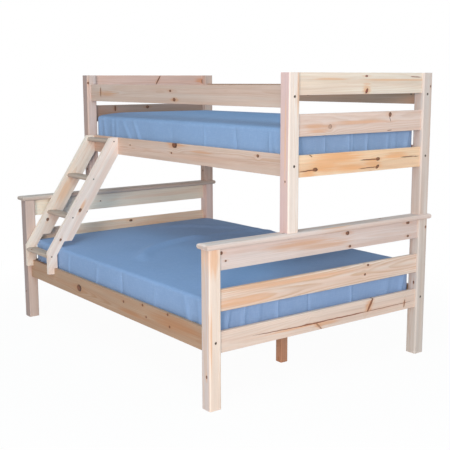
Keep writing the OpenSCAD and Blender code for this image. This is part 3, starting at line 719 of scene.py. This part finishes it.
# Mattresses. Foam and springs in a quilted cotton cover, 160 mm deep, lying loose on the slats.
# The cover is blown up a little from the inside, as the springs do, which crowns its top and
# rounds its sides. It shows from below, between the slats.
weave_group, given, out = node_group(
    "woven_cotton",
    [
        ("Point", "Vector", None),
        ("Thread", "Float", 0.0011),
        ("Cloth", "Color", (0.5, 0.5, 0.5, 1)),
        ("Slub", "Color", (0.6, 0.6, 0.6, 1)),
        ("Seed", "Float", 0),
    ],
    [("Colour", "Color"), ("Roughness", "Float"), ("Height", "Float")],
)
t = weave_group
place = split_node(t, given["Point"])
turns = math_node(t, "DIVIDE", math.tau, given["Thread"])
warp, weft = (math_node(t, "SINE", times(t, place[i], turns)) for i in range(2))
along_slub = noise_node(t, given["Point"], (25, 700, 25), given["Seed"], 2)
cross_slub = noise_node(t, given["Point"], (700, 25, 25), given["Seed"], 2)
slub = math_node(t, "MAXIMUM", along_slub, cross_slub)
faded = noise_node(t, given["Point"], (5, 5, 5), given["Seed"], 3)
colour = mix_node(t, step_node(t, slub, 0.5, 0.8), given["Cloth"], given["Slub"])
t.links.new(shaded_node(t, colour, plus(t, times(t, faded, 0.12), 0.93)), out["Colour"])
t.links.new(plus(t, times(t, slub, 0.15), 0.72), out["Roughness"])
t.links.new(plus(t, times(t, warp, weft, 0.5), times(t, slub, 0.8)), out["Height"])


def cotton(name, cloth, slub, seed, thread=0.0011, sheen=0.04, quilt=None):
    """A woven cotton. It follows the piece's own flat layout, or is quilted in squares of that size."""
    material, t, surface = new_material(name)
    if quilt:
        point = t.nodes.new("ShaderNodeTexCoord").outputs["Object"]
    else:
        layout = t.nodes.new("ShaderNodeUVMap")
        layout.uv_map = "cloth"
        point = layout.outputs[0]
    weave = t.nodes.new("ShaderNodeGroup")
    weave.node_tree = weave_group
    t.links.new(point, weave.inputs["Point"])
    for key, value in (("Thread", thread), ("Cloth", cloth), ("Slub", slub), ("Seed", seed)):
        weave.inputs[key].default_value = value
    relief = bump_node(t, weave.outputs["Height"], 0.25, 0.0004)
    if quilt:
        place = split_node(t, point)
        ways = (plus(t, place[0], place[1]), minus(t, place[0], place[1]))
        a, b = (math_node(t, "SINE", times(t, way, math.pi / quilt)) for way in ways)
        puff = math_node(t, "POWER", math_node(t, "ABSOLUTE", times(t, a, b)), 0.4)
        relief = bump_node(t, puff, 0.8, 0.004, relief)
    t.links.new(relief, surface.inputs["Normal"])
    t.links.new(weave.outputs["Colour"], surface.inputs["Base Color"])
    t.links.new(weave.outputs["Roughness"], surface.inputs["Roughness"])
    surface.inputs["Sheen Weight"].default_value = sheen
    surface.inputs["Sheen Roughness"].default_value = 0.5
    surface.inputs["Specular IOR Level"].default_value = 0.1
    return material


ticking = cotton("mattress_ticking", srgb(226, 221, 210), srgb(238, 234, 226), 3.0, 0.0014, 0.1, 0.09)


def higher(point, low, rise):
    """How far a top stands above its front edge. rise is (height, over what depth, share at the head)."""
    height, depth, at_head = rise
    back = max(0, min(1, (point.y - low.y) / depth))
    return height * back * (2 - back) * (1 - (1 - at_head) * math.exp(min(0, low.x - point.x) / 0.15))


def mattress(name, node, body, rim, rise):
    """The padded core: a round-edged block, remeshed, blown up with its moves capped, kept off the slats,
    and small enough to stay inside its sheet. rim is the height of the sheet's front edge."""
    inside, under_sheet, off_slats, most_blown = 0.016, 0.007, 0.002, 0.005
    low, high = (Vector(c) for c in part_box(node))
    low += Vector((inside, inside, off_slats))
    high = Vector((high.x - inside, high.y - inside, rim - under_sheet))
    bm = bmesh.new()
    bmesh.ops.create_cube(bm, size=1)
    bmesh.ops.scale(bm, vec=high - low, verts=bm.verts)
    bmesh.ops.translate(bm, vec=(low + high) / 2, verts=bm.verts)
    upright = [e for e in bm.edges if (e.verts[0].co - e.verts[1].co).xy.length < 0.001]
    bmesh.ops.bevel(bm, geom=upright, offset=0.05, segments=6, profile=0.5, affect="EDGES", material=-1)
    rims = [e for e in bm.edges if len({abs(f.normal.z) > 0.9 for f in e.link_faces}) == 2]
    bmesh.ops.bevel(bm, geom=rims, offset=0.022, segments=4, profile=0.5, affect="EDGES", material=-1)
    piece = piece_of(name, bm)
    fine = piece.modifiers.new("even", "REMESH")
    fine.mode = "VOXEL"
    fine.voxel_size = 0.014

    def shaped():
        return bpy.data.meshes.new_from_object(piece.evaluated_get(bpy.context.evaluated_depsgraph_get()))

    piece.data = shaped()
    piece.modifiers.clear()
    rest = [v.co.copy() for v in piece.data.vertices]
    cloth = piece.modifiers.new("springs", "CLOTH")
    cloth.settings.quality = 4
    cloth.settings.use_pressure = True
    cloth.settings.uniform_pressure_force = 4
    cloth.settings.effector_weights.gravity = 0
    for step in range(1, 21):
        bpy.context.scene.frame_set(step)
    blown = shaped()
    piece.modifiers.clear()
    piece.data = blown
    bpy.context.scene.frame_set(1)
    for v, start in zip(piece.data.vertices, rest):
        move = v.co - start
        v.co = start + move * min(1, most_blown / max(move.length, 1e-6))
        v.co.z = max(v.co.z, low.z)
    for v in piece.data.vertices:
        v.co.z += higher(v.co, low, rise) * (v.co.z - low.z) / (high.z - low.z)
    piece.data.shade_smooth()
    piece.data.materials.append(ticking)
    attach(piece, body)
    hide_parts(node)
    return piece


double_rim, double_rise = 0.497, (0.018, 1.3, 0.55)
single_rim, single_rise = 1.263, (0.020, 0.25, 1.0)
double_core = mattress("double_mattress_core", "double_mattress", "double_bed", double_rim, double_rise)
single_core = mattress("single_mattress_core", "single_mattress", "single_bedding", single_rim, single_rise)


def fitted_sheet(name, node, body, material, rim, rise, room, folds, ripples, seed, presses=()):
    """folds are (place along the side, lean, width, height), and a width below zero makes a sharp crease.
    ripples are arcs (x, y, radius, from angle, to angle, height) on the top. presses are (low x, high x,
    place, way in) of boards that press the front edge in, softly beside them. room is (how far its long
    sides are drawn in, the most that a fold stands off them)."""
    folds = [(k, *fold) for k, key in enumerate(("front", "foot", "back", "head")) for fold in folds[key]]
    low, high = (Vector(c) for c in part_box(node))
    middle = (low + high) / 2
    halves = ((high.x - low.x) / 2, (high.y - low.y) / 2 - room[0])
    corner, edge, turned, tucked = 0.055, 0.016, 0.02, 0.085
    crown, gentle, crease_step, column_step = 0.009, 0.004, 0.003, 1 / 180
    ends = [halves[k % 2] - corner + corner * math.pi / 4 for k in range(4)]
    starts = [sum(2 * e for e in ends[:k]) + ends[k] for k in range(4)]
    around = sum(2 * e for e in ends)

    def rim_point(k, run, inset):
        """A point of the outline at a place along side k, moved in by inset, and the way out from it."""
        straight, across = halves[k % 2] - corner, halves[1 - k % 2] - corner
        angle = max(0, abs(run) - straight) / corner
        along = math.copysign(min(abs(run), straight) + (corner - inset) * math.sin(angle), run)
        off = across + (corner - inset) * math.cos(angle)
        turn = Matrix.Rotation(k * math.pi / 2, 3, "Z")
        way = turn @ Vector((math.copysign(math.sin(angle), run), -math.cos(angle), 0))
        return middle.xy.to_3d() + turn @ Vector((along, -off, 0)), way

    def places(n):
        """Places of the columns along a pair of sides: even, and close beside each sharp crease."""
        count = round(ends[n] / column_step)
        spots = [ends[n] * (2 * i / count - 1) for i in range(count + 1)]
        for k, place, lean, width, height in folds:
            if k % 2 == n and width < 0:
                near = place if k < 2 else -place
                spots += [near + d * crease_step for d in (-2, -1, 0, 1, 2)]
        spots.sort()
        return [s for i, s in enumerate(spots) if i == 0 or s - spots[i - 1] > 0.0012]

    def gathers(k, run_at, h):
        """How far the cloth stands off at a place: folds, the corner's seam, and slow waves."""
        s = starts[k] + run_at
        total = 0
        for at_side, place, lean, width, height in folds:
            off = (s - starts[at_side] - place - lean * h + around / 2) % around - around / 2
            if abs(off) > 0.12:
                continue
            if width < 0:
                total += height * math.exp(-abs(off) / -width) * (1 - h ** 6)
            else:
                steep = width if off < 0 else width * 0.4
                total += height * math.exp(-(off / steep) ** 2) * (1 - 0.75 * h * h)
        seam = math.exp(-(ends[k] - abs(run_at)) / 0.003) * 0.0012
        slow = noise.noise(Vector((s * 6, h * 0.7, seed))) * gentle * (1 - h)
        return room[1] * math.tanh((total + seam + slow) / room[1])

    def pressed(point):
        for start, stop, at, way in presses:
            beside = max(start - point.x, point.x - stop, 0) / 0.05
            inside = (point - at).dot(way) - 0.0015
            if beside < 1 and inside < 0:
                point = point - way * inside * (1 - beside * beside * (3 - 2 * beside))
        return point

    def lifted(at):
        """How far a place of the top stands above the rim: its crown, its slope, slow waves and ripples."""
        x, y = (at.x - middle.x) / halves[0], (at.y - middle.y) / halves[1]
        full = (1 - abs(x) ** 3) * (1 - abs(y) ** 3)
        slow = noise.noise(Vector((at.x * 3, at.y * 3, seed))) * 0.003
        lift = full * (crown + slow) + higher(at, low, rise)
        for cx, cy, radius, start, stop, height in ripples:
            dx, dy = at.x - cx, at.y - cy
            angle = math.degrees(math.atan2(dy, dx)) % 360
            ease = max(0, min(1, (angle - start) / 12, (stop - angle) / 12))
            lift += height * ease * math.exp(-((math.hypot(dx, dy) - radius) / 0.04) ** 2)
        return lift

    columns, rows = places(0), places(1)
    columns[-1], rows[-1] = ends[0], ends[1]
    nx, ny = len(columns) - 1, len(rows) - 1
    bm = bmesh.new()
    bmesh.ops.create_grid(bm, x_segments=nx, y_segments=ny, size=1)
    floats = bm.verts.layers.float
    side, run, flat_x, flat_y = (floats.new(key) for key in ("side", "run", "flat_x", "flat_y"))
    for v in bm.verts:
        i, j = round((v.co.x + 1) / 2 * nx), round((v.co.y + 1) / 2 * ny)
        u, w = (columns[i] / ends[0] + 1) / 2, (rows[j] / ends[1] + 1) / 2
        front, back = rim_point(0, columns[i], edge)[0], rim_point(2, -columns[i], edge)[0]
        head, foot = rim_point(3, -rows[j], edge)[0], rim_point(1, rows[j], edge)[0]
        flat = front.lerp(back, w) + head.lerp(foot, u)
        for k, a, b in ((0, 1 - u, 1 - w), (1, u, 1 - w), (2, u, w), (3, 1 - u, w)):
            flat -= rim_point(k, -ends[k], edge)[0] * a * b
        v[flat_x], v[flat_y] = flat.xy
        borders = ((j == 0, columns[i]), (i == nx, rows[j]), (j == ny, -columns[i]), (i == 0, -rows[j]))
        for k, (here, at) in enumerate(borders):
            if here:
                v[side], v[run] = k, at
        v.co = pressed(Vector((flat.x, flat.y, rim + lifted(flat))))

    quarter = math.pi / 2
    bottom = low.z + 0.0005
    tall = rim - edge - bottom - turned
    steps = []
    for k in range(1, 5):
        a = quarter * k / 4
        steps.append((edge * (1 - math.sin(a)), rim - edge * (1 - math.cos(a)), math.sin(a)))
    steps += [(0, rim - edge - tall * k / 14, 1) for k in range(1, 15)]
    for k in range(1, 4):
        a = quarter * k / 3
        steps.append((turned * (1 - math.cos(a)), bottom + turned * (1 - math.sin(a)), 1))
    steps += [(turned + tucked * k / 8, bottom, 1) for k in range(1, 9)]
    border = [e for e in bm.edges if e.is_boundary]
    gone = 0
    last = (edge, rim)
    for inset, z, loose in steps:
        gone += math.hypot(inset - last[0], z - last[1])
        last = (inset, z)
        grown = bmesh.ops.extrude_edge_only(bm, edges=border)["geom"]
        border = [e for e in grown if isinstance(e, bmesh.types.BMEdge) and e.is_boundary]
        for v in {v for e in border for v in e.verts}:
            k, at = round(v[side]), v[run]
            point, way = rim_point(k, at, inset)
            v[flat_x], v[flat_y] = (rim_point(k, at, edge)[0] + way * gone).xy
            h = min(1, max(0, (z - bottom) / (rim - bottom)))
            pulled = max(0, (inset - turned) / tucked)
            point.z = z + higher(point, low, rise) * h
            point += way * gathers(k, at, h) * loose * (1 - pulled)
            if pulled:
                waves = 1 + math.sin((starts[k] + at) * 210 + 3 * noise.noise(point * 12))
                point.z += 0.0013 * pulled * waves
            v.co = pressed(point)
    layout = bm.loops.layers.uv.new("cloth")
    for face in bm.faces:
        face.smooth = True
        for loop in face.loops:
            loop[layout].uv = (loop.vert[flat_x], loop.vert[flat_y])
    for key in (side, run, flat_x, flat_y):
        floats.remove(key)
    piece = piece_of(name, bm)
    piece.data.materials.append(material)
    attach(piece, body)
    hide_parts(node)


double_cotton = cotton("double_sheet_cotton", srgb(144, 172, 215), srgb(163, 189, 226), 1.0)
stile_press = (Vector((0, -0.6805, 0.4553)), Vector((0, 0.8335, -0.5525)))
fitted_sheet(
    "double_sheet", "double_mattress", "double_bed", double_cotton,
    double_rim, double_rise, room=(0, 0.04),
    folds={
        "front": [
            (-0.483, 0.0, -0.008, 0.0062), (-0.144, 0.012, -0.008, 0.0074),
            (0.141, 0.0, -0.009, -0.0062), (0.46, 0.02, -0.012, 0.0034),
            (-0.75, -0.01, -0.008, 0.0051), (-0.868, 0.05, 0.018, 0.0117),
            (0.80, -0.06, 0.03, 0.0078), (0.885, -0.03, 0.014, 0.0098),
        ],
        "foot": [
            (-0.60, 0.04, 0.018, 0.0117), (-0.494, 0.02, 0.012, 0.0098),
            (-0.41, 0.03, 0.03, 0.0059), (-0.283, 0.0, -0.007, 0.0062),
            (-0.082, 0.0, -0.007, -0.0051), (0.21, 0.0, -0.008, 0.0057), (0.47, 0.03, 0.03, 0.0059),
            (0.58, 0.05, 0.014, 0.0098),
        ],
        "back": [
            (-0.5, 0.0, -0.008, 0.0057), (-0.1, 0.0, -0.008, -0.0057), (0.3, 0.0, -0.008, 0.0057),
            (-0.87, 0.05, 0.016, 0.0117), (0.85, -0.05, 0.016, 0.0117),
        ],
        "head": [
            (-0.3, 0.0, -0.008, 0.0057), (0.1, 0.0, -0.008, -0.0057), (0.57, -0.04, 0.016, 0.0117),
            (-0.58, 0.04, 0.016, 0.0098),
        ],
    },
    ripples=[
        (0.32, 0.05, 0.595, 165, 245, 0.021), (0.041, -0.351, 0.967, 100, 152, 0.018),
        (0.6, 0.3, 0.9, 150, 200, 0.009),
    ],
    presses=[(x - 0.002, x + 0.028, *stile_press) for x in (-0.952, -0.646)],
    seed=2.0,
)
single_cotton = cotton("single_sheet_cotton", srgb(144, 172, 213), srgb(163, 189, 224), 7.0)
fitted_sheet(
    "single_sheet", "single_mattress", "single_bedding", single_cotton,
    single_rim, single_rise, room=(0.003, 0.0082),
    folds={
        "front": [
            (0.553, -0.01, -0.009, -0.0057), (0.820, 0.0, -0.008, 0.0062),
            (0.27, 0.0, -0.010, 0.0028), (-0.05, 0.0, -0.012, -0.0028),
            (-0.380, -0.10, 0.020, 0.0126), (-0.493, -0.12, 0.030, 0.0078),
            (-0.674, -0.01, 0.016, 0.0087), (-0.731, -0.01, 0.014, 0.0098),
            (-0.815, -0.03, 0.016, 0.0126), (-0.89, -0.02, 0.014, 0.0098),
            (0.88, -0.03, 0.014, 0.0078),
        ],
        "foot": [
            (-0.03, 0.0, -0.010, 0.0034), (-0.22, 0.0, -0.008, 0.0051),
            (-0.056, 0.0, -0.008, 0.0057), (0.065, 0.014, -0.007, 0.0074),
            (0.213, 0.03, -0.007, 0.008), (0.28, 0.0, 0.02, 0.0059), (0.363, 0.035, 0.014, 0.0137),
            (-0.37, -0.03, 0.014, 0.0098),
        ],
        "back": [
            (-0.86, 0.05, 0.016, 0.0117), (-0.4, 0.0, -0.008, 0.0057), (0.1, 0.0, -0.008, -0.0057),
            (0.5, 0.0, -0.008, 0.0057), (0.84, -0.05, 0.016, 0.0117),
        ],
        "head": [
            (0.35, -0.03, 0.016, 0.0117), (-0.34, 0.04, 0.016, 0.0098), (0.05, 0.0, -0.008, 0.0057),
        ],
    },
    ripples=[(0.3, -0.9, 1.2, 80, 130, 0.006), (-0.5, -0.6, 0.9, 50, 110, 0.005)],
    seed=5.0,
)
